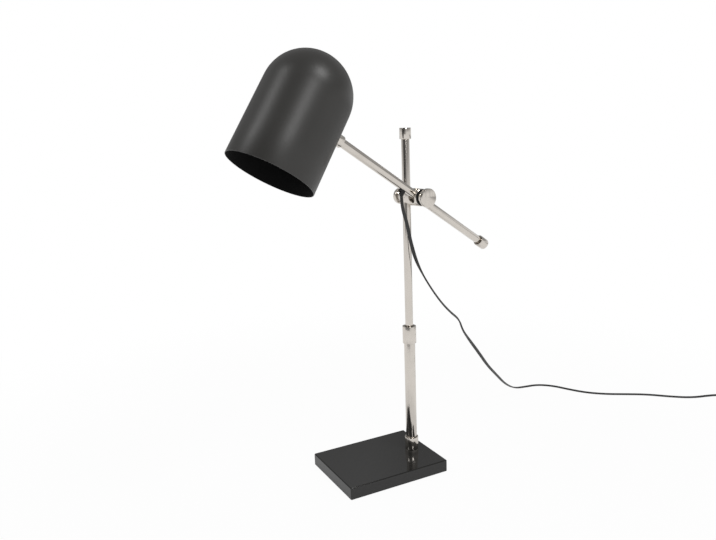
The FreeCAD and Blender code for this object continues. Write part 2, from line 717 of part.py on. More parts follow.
def coil_stations():
    """Points and directions along the coil tube, from the switch to the plug."""
    forward = heading(SWITCH_HEADING)
    start = SWITCH_CENTRE + forward * (SWITCH_LENGTH / 2)
    start.z = SWITCH_CORD_HEIGHT
    stations = [(start, forward), (start + forward * CORD_DIAMETER, forward)]
    quarters = int(COIL_TURNS * 4)
    for i in range(quarters + 1):
        stations.append((coil_point(i / 4), coil_tangent(i / 4)))
    out = heading(SWITCH_HEADING + 360 * COIL_TURNS)
    plug_entry = coil_point(COIL_TURNS) + out * (COIL_LEAD_OUT + CORD_DIAMETER)
    plug_entry.z = PLUG_HEIGHT / 2
    stations.append((plug_entry - out * CORD_DIAMETER, out))
    stations.append((plug_entry, out))
    return stations


def coil_path():
    edges = []
    stations = coil_stations()
    for (start, start_tangent), (end, end_tangent) in zip(stations, stations[1:]):
        straight = (end - start).getAngle(start_tangent) < 1e-5 > start_tangent.getAngle(end_tangent)
        if straight:
            edges.append(Part.LineSegment(start, end).toShape())
        else:
            edges += biarc(start, start_tangent, end, end_tangent)
    return Part.Wire(edges)


def least_gap(path, diameter):
    """Smallest distance between turns of a tube, skipping points close along it."""
    spacing = 2.0
    points = path.discretize(Distance=spacing)
    skip = int(6 * diameter / spacing)
    gap = min((a - b).Length for i, a in enumerate(points) for b in points[i + skip:])
    return gap - diameter


def cord_coil():
    """The rest of the cord, wound in two layers and tied away, from the switch to the plug."""
    path = coil_path()
    tube = swept_tube(path, CORD_RADIUS)
    section = math.pi * CORD_RADIUS ** 2
    print("coil length", round(path.Length, 1),
          "least gap", round(least_gap(path, CORD_DIAMETER), 2),
          "volume over section and length", round(tube.Volume / section / path.Length, 4))
    return tube


# ------------------------------------------------------------------- in-line switch

ROCKER_LENGTH = 17.0
ROCKER_WIDTH = 9.0
SWITCH_SPLIT = 7.5           # height where the base and the cover of the switch meet


def on_switch(shape):
    """From the switch's frame (X along the cord) to its place on the desk."""
    return shape.rotated(Vector(0, 0, 0), UP, SWITCH_HEADING).translated(SWITCH_CENTRE)


def switch_outline(inset, low, high):
    half_length = SWITCH_LENGTH / 2 - inset
    half_width = SWITCH_WIDTH / 2 - inset
    taper = 6.0
    points = [Vector(half_length, -half_width + taper, low), Vector(half_length, half_width - taper, low),
              Vector(half_length - 14, half_width, low), Vector(-half_length + 14, half_width, low),
              Vector(-half_length, half_width - taper, low),
              Vector(-half_length, -half_width + taper, low),
              Vector(-half_length + 14, -half_width, low), Vector(half_length - 14, -half_width, low)]
    rounds = [1.5, 1.5, 8, 8, 1.5, 1.5, 8, 8]
    return Part.Face(tangent_path(points, rounds, closed=True)).extrude(UP * (high - low))


def switch_screw_spots():
    return [(-16.0, 0.0), (16.0, 0.0)]


def switch_base():
    """Lower shell of the switch, a tray that the cord lies in."""
    wall = 1.8
    tray = switch_outline(0, 0, SWITCH_SPLIT).cut(switch_outline(wall, wall, SWITCH_SPLIT + 1))
    cord = Part.makeCylinder(CORD_RADIUS, 100, Vector(-50, 0, SWITCH_CORD_HEIGHT), Vector(1, 0, 0))
    posts = [moved(drum(2.6, 0.5, SWITCH_SPLIT), x=x, y=y) for x, y in switch_screw_spots()]
    holes = [moved(drum(1.5, -1, 20), x=x, y=y) for x, y in switch_screw_spots()]
    return on_switch(tray.cut(cord).fuse(posts).cut(Part.makeCompound(holes)))


def switch_cover():
    """Upper shell of the switch with the opening for the rocker."""
    wall = 1.8
    top = SWITCH_HEIGHT
    shell = switch_outline(0, SWITCH_SPLIT, top)
    brow = [edge for edge in shell.Edges if edge.BoundBox.ZMin > top - 0.01]
    shell = shell.makeChamfer(1.2, brow)
    shell = shell.cut(switch_outline(wall, SWITCH_SPLIT - 1, top - wall))
    opening = block(-ROCKER_LENGTH / 2 - 0.5, ROCKER_LENGTH / 2 + 0.5,
                    -ROCKER_WIDTH / 2 - 0.4, ROCKER_WIDTH / 2 + 0.4, top - 5, top + 5)
    holes = [moved(drum(1.5, 0, 30), x=x, y=y) for x, y in switch_screw_spots()]
    sinks = [moved(drum(2.7, top - 1.0, 30), x=x, y=y) for x, y in switch_screw_spots()]
    return on_switch(shell.cut(opening).cut(Part.makeCompound(holes)).cut(Part.makeCompound(sinks)))


def switch_screws():
    """Two screws that hold the shells together, with crossed slots."""
    top = SWITCH_HEIGHT
    screws = []
    for x, y in switch_screw_spots():
        shank = moved(drum(1.5, 2.0, top - 1.0), x=x, y=y)
        head = moved(drum(2.7, top - 1.0, top), x=x, y=y)
        slots = [block(x - 1.8, x + 1.8, y - 0.3, y + 0.3, top - 0.6, top + 1),
                 block(x - 0.3, x + 0.3, y - 1.8, y + 1.8, top - 0.6, top + 1)]
        screws.append(on_switch(shank.fuse(head).cut(Part.makeCompound(slots))))
    return Part.makeCompound(screws)


ROCKER_PIVOT = 12.5          # height of the rocker's pin
ROCKER_THROW = 8.0           # degrees that the rocker stands to one side


def switch_rocker():
    """Rocker key: two faces at a shallow angle, over a round pivot boss."""
    half = ROCKER_LENGTH / 2
    outline = [(-half, 2.0), (-half + 0.4, 4.3), (0, 2.9), (half - 0.4, 4.3), (half, 2.0),
               (half - 2.0, 0.2), (2.2, -1.0), (0, -2.2), (-2.2, -1.0), (-half + 2.0, 0.2)]
    rounds = [0.4, 0.6, 6.0, 0.6, 0.4, 0.4, 0.8, 1.5, 0.8, 0.4]
    points = [Vector(x, -ROCKER_WIDTH / 2, z) for x, z in outline]
    key = Part.Face(tangent_path(points, rounds, closed=True)).extrude(Vector(0, ROCKER_WIDTH, 0))
    key = key.rotated(Vector(0, 0, 0), Vector(0, 1, 0), ROCKER_THROW)
    return on_switch(moved(key, z=ROCKER_PIVOT))


# ------------------------------------------------------------------------- the plug

PLUG_LENGTH = 34.0
PLUG_WIDTH = 24.0
PLUG_HEIGHT = 14.0
BLADE_SPACING = 12.7
BLADE_LENGTH = 17.0


def on_plug(shape):
    """From the plug's frame (X out of the blades, rear face at 0) to its place on the desk."""
    entry, direction = coil_stations()[-1]
    angle = math.degrees(math.atan2(direction.y, direction.x))
    return shape.rotated(Vector(0, 0, 0), UP, angle).translated(entry)


def plug_body():
    """Moulded two-blade plug with a narrow neck and a finger-grip waist."""
    half = PLUG_WIDTH / 2
    neck = CORD_RADIUS + 1.3
    outline = [(0, -neck), (9, -neck), (17, -half + 2.5), (25, -half + 2.0), (30, -half),
               (PLUG_LENGTH, -half), (PLUG_LENGTH, half), (30, half), (25, half - 2.0),
               (17, half - 2.5), (9, neck), (0, neck)]
    rounds = [1.0, 6.0, 6.0, 6.0, 3.0, 1.2, 1.2, 3.0, 6.0, 6.0, 6.0, 1.0]
    points = [Vector(x, y, -PLUG_HEIGHT / 2) for x, y in outline]
    body = Part.Face(tangent_path(points, rounds, closed=True)).extrude(UP * PLUG_HEIGHT)
    side = [(0, -neck), (8, -neck), (18, -PLUG_HEIGHT / 2), (PLUG_LENGTH, -PLUG_HEIGHT / 2),
            (PLUG_LENGTH, PLUG_HEIGHT / 2), (18, PLUG_HEIGHT / 2), (8, neck), (0, neck)]
    side_rounds = [0.5, 5.0, 8.0, 1.0, 1.0, 8.0, 5.0, 0.5]
    side_points = [Vector(x, -PLUG_WIDTH, z) for x, z in side]
    profile = Part.Face(tangent_path(side_points, side_rounds, closed=True))
    body = body.common(profile.extrude(Vector(0, 2 * PLUG_WIDTH, 0)))
    slots = [block(PLUG_LENGTH - 8, PLUG_LENGTH + 1, y - 0.75, y + 0.75, -3.2, 3.2)
             for y in (-BLADE_SPACING / 2, BLADE_SPACING / 2)]
    return on_plug(body.cut(Part.makeCompound(slots)))


def plug_blades():
    """Two flat brass blades with a hole near each tip."""
    blades = []
    for y in (-BLADE_SPACING / 2, BLADE_SPACING / 2):
        points = [Vector(PLUG_LENGTH - 8, y - 0.75, -3.17), Vector(PLUG_LENGTH + BLADE_LENGTH, y - 0.75, -3.17),
                  Vector(PLUG_LENGTH + BLADE_LENGTH, y - 0.75, 3.17), Vector(PLUG_LENGTH - 8, y - 0.75, 3.17)]
        blade = Part.Face(tangent_path(points, [0, 1.8, 1.8, 0], closed=True))
        blade = blade.extrude(Vector(0, 1.5, 0))
        hole = Part.makeCylinder(1.6, 4, Vector(PLUG_LENGTH + 12.5, y - 2, 0), Vector(0, 1, 0))
        blades.append(on_plug(blade.cut(hole)))
    return Part.makeCompound(blades)


# ---------------------------------------------------------------------------- export

SUBPARTS = [
    base_slab, felt_pad, base_washer, base_nut, tie_rod, tube_plug, foot_collar, foot_set_screw,
    lower_tube, post_collet, height_collar, upper_guide, upper_tube, top_cap,
    clamp_liner, clamp_body, rear_knob, tilt_washer, arm_barrel, front_knob,
    arm_tube, arm_end_cap, shade_ferrule, shade_nipple, nipple_washer, nipple_nut,
    cord_grommet, arm_lead,
    shade_shell, holder_bracket, holder_nipple, holder_nut, holder_cap, holder_sleeve,
    screw_shell, contact_carrier, centre_contact, holder_lead,
    supply_cord, cord_coil, switch_base, switch_cover, switch_screws, switch_rocker,
    plug_body, plug_blades]

os.makedirs("parts", exist_ok=True)
for subpart in SUBPARTS:
    shape = subpart()
    if not shape.isValid() or shape.Volume <= 0:
        print("check", subpart.__name__, "valid", shape.isValid(), "volume", shape.Volume)
    shape.exportStep("parts/" + subpart.__name__ + ".step")
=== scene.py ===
from math import cos, hypot, pi, radians, sin

import bmesh
import bpy
from mathutils import Matrix, Vector


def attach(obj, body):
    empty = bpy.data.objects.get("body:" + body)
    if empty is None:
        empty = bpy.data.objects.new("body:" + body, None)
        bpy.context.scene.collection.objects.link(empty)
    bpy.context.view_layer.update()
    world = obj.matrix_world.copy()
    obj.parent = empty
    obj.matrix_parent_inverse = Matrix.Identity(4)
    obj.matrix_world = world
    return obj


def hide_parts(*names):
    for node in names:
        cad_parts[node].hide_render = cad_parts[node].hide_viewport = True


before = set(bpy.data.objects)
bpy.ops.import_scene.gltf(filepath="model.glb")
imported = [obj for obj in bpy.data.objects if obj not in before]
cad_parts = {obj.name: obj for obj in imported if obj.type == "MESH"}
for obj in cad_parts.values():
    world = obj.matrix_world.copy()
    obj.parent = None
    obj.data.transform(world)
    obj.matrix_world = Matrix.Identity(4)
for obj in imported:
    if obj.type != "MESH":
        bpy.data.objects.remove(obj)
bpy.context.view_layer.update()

# A desk lamp: a black dome shade on a sliding, tilting arm, held by a cross clamp on a
# two-piece post that stands on a stone slab. Sizes are in millimetres until a piece is
# placed, because that is how the parts are drawn.


# ---- The view. The camera stands to the left of the lamp and a little above the clamp,
# and looks slightly down, as in a catalogue picture taken with a normal lens.
CAMERA_PLACE = (-0.4702, -0.8598, 0.5117)
TURNED_RIGHT = 27.33         # degrees from +Y
TIPPED_DOWN = 11.34          # degrees below level
ROLLED = 2.06                # degrees

camera = bpy.data.objects.new("camera", bpy.data.cameras.new("camera"))
bpy.context.collection.objects.link(camera)
bpy.context.scene.camera = camera
camera.data.sensor_width = 36
camera.data.lens = 34.27
camera.matrix_world = (Matrix.Translation(CAMERA_PLACE)
                       @ Matrix.Rotation(radians(-TURNED_RIGHT), 4, "Z")
                       @ Matrix.Rotation(radians(90 - TIPPED_DOWN), 4, "X")
                       @ Matrix.Rotation(radians(-ROLLED), 4, "Z"))
bpy.context.scene.view_settings.view_transform = "Standard"


# ---- The table. A white sweep: matt near the lamp, so that it takes a soft shadow, and
# plain white further out, so that no edge or horizon shows behind the lamp.
def colour(code):
    """An sRGB hex colour as the linear RGBA that the shaders take."""
    channels = [int(code[i:i + 2], 16) / 255 for i in (1, 3, 5)]
    linear = [c / 12.92 if c <= 0.04045 else ((c + 0.055) / 1.055) ** 2.4 for c in channels]
    return (*linear, 1.0)


def add_node(tree, kind, inputs={}, **settings):
    """Add a node. Settings are its properties; inputs are values, or outputs to link."""
    node = tree.nodes.new(kind)
    for name, value in settings.items():
        setattr(node, name, value)
    for name, value in inputs.items():
        if isinstance(value, bpy.types.NodeSocket):
            tree.links.new(value, node.inputs[name])
        else:
            node.inputs[name].default_value = value
    return node


def white_sweep_paper():
    """Matt paper. To the eye it fades to plain white away from the lamp. In polished pieces it
    glows white, a painted reflection of a bright room: dimmer in soft patches, far off to the
    right, and close to the lamp, where it is partly painted shade and partly the paper's own
    shadow showing through."""
    material = bpy.data.materials.new("white_sweep_paper")
    material.use_nodes = True
    tree = material.node_tree
    tree.nodes.clear()
    place = add_node(tree, "ShaderNodeTexCoord").outputs["Object"]
    away = add_node(tree, "ShaderNodeVectorMath", {0: place}, operation="LENGTH").outputs["Value"]
    fade = add_node(tree, "ShaderNodeMapRange",
                    {"Value": away, "From Min": 0.35, "From Max": 1.1,
                     "To Min": 0.96, "To Max": 1.0}, interpolation_type="SMOOTHSTEP")
    to_right = add_node(tree, "ShaderNodeVectorMath", {0: place, 1: (0.80, 0.60, 0.0)},
                        operation="DOT_PRODUCT")
    right_fade = add_node(tree, "ShaderNodeMapRange",
                          {"Value": to_right.outputs["Value"], "From Min": 0.7, "From Max": 2.0,
                           "To Min": 0.98, "To Max": 0.2}, interpolation_type="SMOOTHSTEP")
    near_fade = add_node(tree, "ShaderNodeMapRange",
                          {"Value": away, "From Min": 0.1, "From Max": 0.35,
                           "To Min": 0.5, "To Max": 1.0}, interpolation_type="SMOOTHSTEP")
    # Soft patches in the white glow that polished pieces see: painted reflection, not marks on the paper.
    patches = add_node(tree, "ShaderNodeTexNoise", {"Vector": place, "Scale": 6.0})
    patchy_glow = add_node(tree, "ShaderNodeMapRange",
                      {"Value": patches.outputs["Fac"], "From Min": 0.3, "From Max": 0.7,
                       "To Min": 0.75, "To Max": 1.15})
    faded = add_node(tree, "ShaderNodeMath",
                     {0: right_fade.outputs["Result"], 1: near_fade.outputs["Result"]},
                     operation="MULTIPLY")
    bright = add_node(tree, "ShaderNodeMath",
                      {0: faded.outputs[0], 1: patchy_glow.outputs["Result"]}, operation="MULTIPLY")
    rays = add_node(tree, "ShaderNodeLightPath").outputs
    # Polished pieces see the paper glow white: a painted reflection, dimmed near the lamp (painted shade)
    # and to the right.
    in_metal = add_node(tree, "ShaderNodeMath",
                        {0: rays["Is Glossy Ray"], 1: bright.outputs[0]}, operation="MULTIPLY")
    to_eye = add_node(tree, "ShaderNodeMath",
                      {0: rays["Is Camera Ray"], 1: fade.outputs["Result"]}, operation="MULTIPLY")
    share = add_node(tree, "ShaderNodeMath", {0: in_metal.outputs[0], 1: to_eye.outputs[0]},
                     operation="MAXIMUM")
    grain = add_node(tree, "ShaderNodeTexNoise", {"Vector": place, "Scale": 900.0})
    relief = add_node(tree, "ShaderNodeBump",
                      {"Height": grain.outputs["Fac"], "Strength": 0.05, "Distance": 0.0002})
    paper = add_node(tree, "ShaderNodeBsdfDiffuse",
                     {"Color": colour("#f2f2f2"), "Normal": relief.outputs["Normal"]})
    white = add_node(tree, "ShaderNodeEmission", {"Color": colour("#ffffff"), "Strength": 1.0})
    mixed = add_node(tree, "ShaderNodeMixShader",
                     {0: share.outputs[0], 1: paper.outputs[0], 2: white.outputs[0]})
    add_node(tree, "ShaderNodeOutputMaterial", {"Surface": mixed.outputs[0]})
    return material


SWEEP_HALF = 6.0             # metres from its middle to its edge
SWEEP_DROP = 0.0002          # metres below the felt, so that their faces stay apart

sweep = bmesh.new()
bmesh.ops.create_grid(sweep, x_segments=1, y_segments=1, size=SWEEP_HALF,
                      matrix=Matrix.Translation((0, 0, -SWEEP_DROP)))
sweep_mesh = bpy.data.meshes.new("sweep")
sweep.to_mesh(sweep_mesh)
sweep.free()
sweep_mesh.materials.append(white_sweep_paper())
floor = bpy.data.objects.new("sweep", sweep_mesh)
bpy.context.collection.objects.link(floor)


# ---- The light. A white room that is dim overhead and in two directions along its walls,
# with two softboxes in front and another on the left: polished metal shows the room, and
# the satin shade shows the softboxes as a spot and two long streaks.
room = bpy.data.worlds.new("white_room")
bpy.context.scene.world = room
room.use_nodes = True
tree = room.node_tree
tree.nodes.clear()
way = add_node(tree, "ShaderNodeTexCoord").outputs["Generated"]
climb = add_node(tree, "ShaderNodeSeparateXYZ", {0: way}).outputs["Z"]

# How white the room is by the climb of a direction: 0 is level and 1 is straight up.
ROOM_TONES = [(0.06, 0.95), (0.26, 0.38), (0.40, 0.38), (0.49, 0.55), (0.62, 0.36)]
wall_tone = add_node(tree, "ShaderNodeValToRGB", {"Fac": climb})
stops = wall_tone.color_ramp.elements
for position, white in ROOM_TONES:
    stop = stops.new(position)
    stop.color = (white, white, white, 1.0)
for end in (-1, 0):
    stops.remove(stops[end])


def dim_side(direction, start, full, least):
    """Factor that darkens the walls round one direction. It falls from 1 to the least value
    as the cosine of the angle to that direction goes from start to full."""
    toward = add_node(tree, "ShaderNodeVectorMath", {0: way, 1: direction}, operation="DOT_PRODUCT")
    return add_node(tree, "ShaderNodeMapRange",
                    {"Value": toward.outputs["Value"], "From Min": start, "From Max": full,
                     "To Min": 1.0, "To Max": least}, interpolation_type="SMOOTHSTEP")


left_corner = dim_side((-0.875, -0.485, 0.0), 0.70, 0.88, 0.34)
far_wall = dim_side((0.39, 0.92, 0.0), 0.80, 0.99, 0.6)
panels = add_node(tree, "ShaderNodeMapping", {"Vector": way, "Scale": (9.0, 9.0, 0.6)})
panel_noise = add_node(tree, "ShaderNodeTexNoise",
                       {"Vector": panels.outputs["Vector"], "Scale": 1.0, "Detail": 1.0})
panel_tone = add_node(tree, "ShaderNodeMapRange",
                      {"Value": panel_noise.outputs["Fac"], "From Min": 0.3, "From Max": 0.7,
                       "To Min": 0.78, "To Max": 1.1})
glow = wall_tone.outputs["Color"]
for factor in (left_corner, far_wall, panel_tone):
    glow = add_node(tree, "ShaderNodeMath", {0: glow, 1: factor.outputs["Result"]},
                    operation="MULTIPLY").outputs[0]
camera_ray = add_node(tree, "ShaderNodeLightPath").outputs["Is Camera Ray"]
level = add_node(tree, "ShaderNodeMapRange", {"Value": camera_ray, "To Min": glow, "To Max": 1.0})
backdrop = add_node(tree, "ShaderNodeBackground",
                    {"Color": colour("#ffffff"), "Strength": level.outputs["Result"]})
add_node(tree, "ShaderNodeOutputWorld", {"Surface": backdrop.outputs[0]})

SHADE_MIDDLE = Vector((-0.12, -0.05, 0.55))
SOFTBOX_DISTANCE = 1.7       # metres from the shade


def softbox(name, direction, width, length, power):
    """Area lamp, sized in metres, that faces the shade from the given direction."""
    lamp = bpy.data.lights.new(name, "AREA")
    lamp.shape = "RECTANGLE"
    lamp.size = width
    lamp.size_y = length
    lamp.energy = power
    box = bpy.data.objects.new(name, lamp)
    bpy.context.collection.objects.link(box)
    toward = Vector(direction).normalized()
    box.location = SHADE_MIDDLE + toward * SOFTBOX_DISTANCE
    box.rotation_euler = toward.to_track_quat("Z", "Y").to_euler()


softbox("front_softbox", (0.33, -0.56, 0.76), width=0.5, length=0.5, power=9.0)
softbox("front_strip", (-0.08, -0.89, 0.45), width=0.45, length=0.35, power=6.0)
softbox("left_softbox", (-0.71, 0.14, 0.66), width=0.4, length=0.9, power=6.0)


# ---- The base. A slab of black granite, sawn and polished, its upper edges and corners
# eased by hand, on a thin felt pad that is glued underneath to spare the table.
def new_finish(name, place=Matrix()):
    """Material with coordinates in millimetres along the piece's own axes."""
    material = bpy.data.materials.new(name)
    material.use_nodes = True
    tree = material.node_tree
    tree.nodes.clear()
    spot = add_node(tree, "ShaderNodeTexCoord").outputs["Object"]
    local = add_node(tree, "ShaderNodeMapping",
                     {"Vector": spot, "Location": place.translation / 1000,
                      "Rotation": place.to_euler(), "Scale": (0.001, 0.001, 0.001)},
                     vector_type="TEXTURE")
    return material, tree, local.outputs["Vector"]


def close_finish(tree, **inputs):
    """Put the principled shader with its inputs on the surface."""
    named = {name.replace("_", " "): value for name, value in inputs.items()}
    shader = add_node(tree, "ShaderNodeBsdfPrincipled", named)
    add_node(tree, "ShaderNodeOutputMaterial", {"Surface": shader.outputs[0]})


def make_piece(name, shape, material, body, place=Matrix(), scale=0.001, sharp=35):
    """Turn a finished bmesh into an object that rides on a body of the lamp."""
    bmesh.ops.transform(shape, matrix=Matrix.Scale(scale, 4) @ place, verts=shape.verts)
    mesh = bpy.data.meshes.new(name)
    shape.to_mesh(mesh)
    shape.free()
    mesh.shade_smooth()
    mesh.set_sharp_from_angle(angle=radians(sharp))
    piece = bpy.data.objects.new(name, mesh)
    bpy.context.collection.objects.link(piece)
    mesh.materials.append(material)
    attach(piece, body)
    return piece


def polished_granite():
    """Black granite: near-black crystals a millimetre or two wide, a few grey mica flecks,
    ground and polished until it reflects like dark glass."""
    material, tree, spot = new_finish("polished_black_granite")
    crystals = add_node(tree, "ShaderNodeTexVoronoi", {"Vector": spot, "Scale": 0.7})
    cloud = add_node(tree, "ShaderNodeTexNoise", {"Vector": spot, "Scale": 0.08, "Detail": 3.0})
    fleck = add_node(tree, "ShaderNodeTexVoronoi", {"Vector": spot, "Scale": 0.45})
    crystal_tone = add_node(tree, "ShaderNodeMixRGB", {"Fac": crystals.outputs["Color"],
                                                       "Color1": colour("#161615"),
                                                       "Color2": colour("#262625")})
    clouded = add_node(tree, "ShaderNodeMixRGB", {"Fac": cloud.outputs["Fac"],
                                                  "Color1": crystal_tone.outputs["Color"],
                                                  "Color2": colour("#1e1d1c")})
    bright = add_node(tree, "ShaderNodeMapRange", {"Value": fleck.outputs["Distance"],
                                                   "From Min": 0.16, "From Max": 0.08})
    tone = add_node(tree, "ShaderNodeMixRGB", {"Fac": bright.outputs["Result"],
                                               "Color1": clouded.outputs["Color"],
                                               "Color2": colour("#4a4845")})
    pits = add_node(tree, "ShaderNodeMapRange", {"Value": crystals.outputs["Distance"], "To Min": 0.05,
                                                 "To Max": 0.11})
    close_finish(tree, Base_Color=tone.outputs["Color"], Roughness=pits.outputs["Result"], IOR=1.52)
    return material


def pressed_felt():
    """Wool felt: matt, with short fibres lying every way."""
    material, tree, spot = new_finish("pressed_felt")
    fibres = add_node(tree, "ShaderNodeTexNoise", {"Vector": spot, "Scale": 1.6, "Detail": 8.0,
                                                   "Distortion": 2.0})
    tone = add_node(tree, "ShaderNodeMixRGB", {"Fac": fibres.outputs["Fac"], "Color1": colour("#0d0d0e"),
                                               "Color2": colour("#2a2a2c")})
    relief = add_node(tree, "ShaderNodeBump", {"Height": fibres.outputs["Fac"], "Strength": 0.8,
                                               "Distance": 0.0003})
    close_finish(tree, Base_Color=tone.outputs["Color"], Roughness=0.95, IOR=1.5, Sheen_Weight=0.3,
                 Normal=relief.outputs["Normal"])
    return material


def refinish(material, *nodes):
    """Give parts that keep their drawn shape a new finish."""
    for node in nodes:
        for material_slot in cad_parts[node].material_slots:
            material_slot.material = material


SLAB_LENGTH = 165
SLAB_WIDTH = 127
SLAB_THICKNESS = 18
FELT_THICKNESS = 1
SLAB_TOP = FELT_THICKNESS + SLAB_THICKNESS
SLAB_EASING = 1.2

slab = bmesh.new()
slab_middle = Matrix.Translation((0, 0, FELT_THICKNESS + SLAB_THICKNESS / 2))
slab_size = Matrix.Diagonal((SLAB_LENGTH, SLAB_WIDTH, SLAB_THICKNESS, 1))
bmesh.ops.create_cube(slab, size=1.0, matrix=slab_middle @ slab_size)
eased = [edge for edge in slab.edges if max(v.co.z for v in edge.verts) > SLAB_TOP - 1]
bmesh.ops.bevel(slab, geom=eased, offset=SLAB_EASING, offset_type="OFFSET", segments=1, profile=0.5,
                affect="EDGES", material=-1)
base_piece = make_piece("granite_slab", slab, polished_granite(), "base")
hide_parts("base_slab")
refinish(pressed_felt(), "felt_pad")


# ---- The fastening under the slab. A threaded tube, a washer and a nut of zinc-plated
# steel draw the post down on to the stone; the plug in the tube's foot takes the thread.
def zinc_plate():
    """Bright zinc on steel: pale, slightly blue grey, dulled unevenly by handling."""
    material, tree, spot = new_finish("bright_zinc_plate")
    stain = add_node(tree, "ShaderNodeTexNoise", {"Vector": spot, "Scale": 0.3, "Detail": 5.0})
    tone = add_node(tree, "ShaderNodeMixRGB", {"Fac": stain.outputs["Fac"], "Color1": colour("#a9adb0"),
                                               "Color2": colour("#c9ccd0")})
    dull = add_node(tree, "ShaderNodeMapRange", {"Value": stain.outputs["Fac"], "To Min": 0.25,
                                                 "To Max": 0.45})
    close_finish(tree, Base_Color=tone.outputs["Color"], Metallic=1.0, Roughness=dull.outputs["Result"])
    return material


zinc = zinc_plate()
refinish(zinc, "base_washer", "base_nut", "tie_rod", "tube_plug", "foot_set_screw")


# ---- The lower post. A drawn steel tube in a turned foot collar, both polished and
# nickel plated; a screw in the back of the collar keeps it from turning.
def turn(outline):
    """Lathe a closed outline of radius and height about Z."""
    shape = bmesh.new()
    rim = [shape.verts.new((radius, 0, height)) for radius, height in outline]
    for a, b in zip(rim, rim[1:]):
        shape.edges.new((a, b))
    shape.edges.new((rim[-1], rim[0]))
    bmesh.ops.spin(shape, geom=shape.verts[:] + shape.edges[:], cent=(0, 0, 0), axis=(0, 0, 1),
                   angle=2 * pi, steps=96, use_merge=True)
    bmesh.ops.remove_doubles(shape, verts=shape.verts, dist=0.001)
    bmesh.ops.recalc_face_normals(shape, faces=shape.faces)
    return shape


def ease(shape, size):
    """Round the sharp edges of a turned piece, as a file and the polish leave them."""
    sharp = [edge for edge in shape.edges if len(edge.link_faces) == 2
             and edge.calc_face_angle() > radians(30)]
    bmesh.ops.bevel(shape, geom=sharp, offset=size, offset_type="OFFSET", segments=2, profile=0.5,
                    affect="EDGES", material=-1, clamp_overlap=True)
    return shape


def polished_nickel(name, place, grain):
    """Nickel plate over polished steel: warm grey, mirror bright, with a fine grain that is
    left by the draw bench along a tube (grain "drawn") or the lathe round a turning."""
    material, tree, spot = new_finish(name, place)
    stretch = (1.6, 1.6, 0.02) if grain == "drawn" else (0.05, 0.05, 2.0)
    lines = add_node(tree, "ShaderNodeMapping", {"Vector": spot, "Scale": stretch})
    marks = add_node(tree, "ShaderNodeTexNoise", {"Vector": lines.outputs["Vector"], "Scale": 1.0,
                                                  "Detail": 3.0})
    breath = add_node(tree, "ShaderNodeTexNoise", {"Vector": spot, "Scale": 0.08, "Detail": 3.0})
    tone = add_node(tree, "ShaderNodeMixRGB", {"Fac": breath.outputs["Fac"], "Color1": colour("#c9c3bb"),
                                               "Color2": colour("#d6d0c9")})
    haze = add_node(tree, "ShaderNodeMapRange", {"Value": marks.outputs["Fac"], "From Min": 0.3,
                                                 "From Max": 0.7, "To Min": 0.09, "To Max": 0.16})
    relief = add_node(tree, "ShaderNodeBump", {"Height": marks.outputs["Fac"], "Strength": 0.12,
                                               "Distance": 0.00005})
    close_finish(tree, Base_Color=tone.outputs["Color"], Metallic=1.0, Roughness=haze.outputs["Result"],
                 Normal=relief.outputs["Normal"])
    return material


def turned_piece(name, outline, material, body, place, node, edge=0.4):
    """A turning that takes the place of its drawn part."""
    piece = make_piece(name, ease(turn(outline), edge), material, body, place)
    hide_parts(node)


POST_X = 59
COLLAR_RADIUS = 10.5
LOWER_RADIUS = 8.5
LOWER_BORE = 7
LOWER_TOP = 214
COLLAR_BORE = 8.6            # of both collars, which slip over the lower tube
FOOT_COLLAR_TOP = 39

POST = Matrix.Translation((POST_X, 0, 0))
drawn_nickel = polished_nickel("nickel_plate_drawn", POST, "drawn")
turned_nickel = polished_nickel("nickel_plate_turned", POST, "turned")
foot_ring = [(COLLAR_BORE, SLAB_TOP), (COLLAR_RADIUS, SLAB_TOP), (COLLAR_RADIUS, FOOT_COLLAR_TOP),
             (COLLAR_BORE, FOOT_COLLAR_TOP)]
lower_tube = [(LOWER_BORE, SLAB_TOP), (LOWER_RADIUS, SLAB_TOP), (LOWER_RADIUS, LOWER_TOP),
              (LOWER_BORE, LOWER_TOP)]
turned_piece("foot_ring", foot_ring, turned_nickel, "base", POST, "foot_collar", edge=0.7)
turned_piece("lower_post_tube", lower_tube, drawn_nickel, "base", POST, "lower_tube", edge=0.2)


# ---- The upper post. It slides in the lower tube on a nylon guide; the height collar
# twists on the top of the lower tube and squeezes a split nylon collet round it. A turned
# cap closes its upper end.
def moulded_nylon():
    """Black nylon: smooth but not shiny, a little translucent at thin edges."""
    material, tree, spot = new_finish("moulded_black_nylon")
    mottle = add_node(tree, "ShaderNodeTexNoise", {"Vector": spot, "Scale": 0.6, "Detail": 3.0})
    tone = add_node(tree, "ShaderNodeMixRGB", {"Fac": mottle.outputs["Fac"], "Color1": colour("#131313"),
                                               "Color2": colour("#1d1d1e")})
    close_finish(tree, Base_Color=tone.outputs["Color"], Roughness=0.5, IOR=1.53)
    return material


nylon = moulded_nylon()
refinish(nylon, "post_collet", "upper_guide")
TUBE_RADIUS = 6
TUBE_BORE = 5
UPPER_FOOT = 112             # inside the lower tube
UPPER_TOP = 514.6
RING_FOOT = 193
RING_TOP = 220
RING_LIP = 214.3             # the ring's top closes in over the end of the lower tube here
LIP_BORE = 7.1
CAP_RADIUS = 8.4
CAP_LENGTH = 16
CAP_CROWN = 2.5              # solid metal at its closed end, where the tube stops
CAP_BORE = 6.05
CAP_MOUTH = 6.9              # what its bore opens out to
MOUTH_DEPTH = 0.8

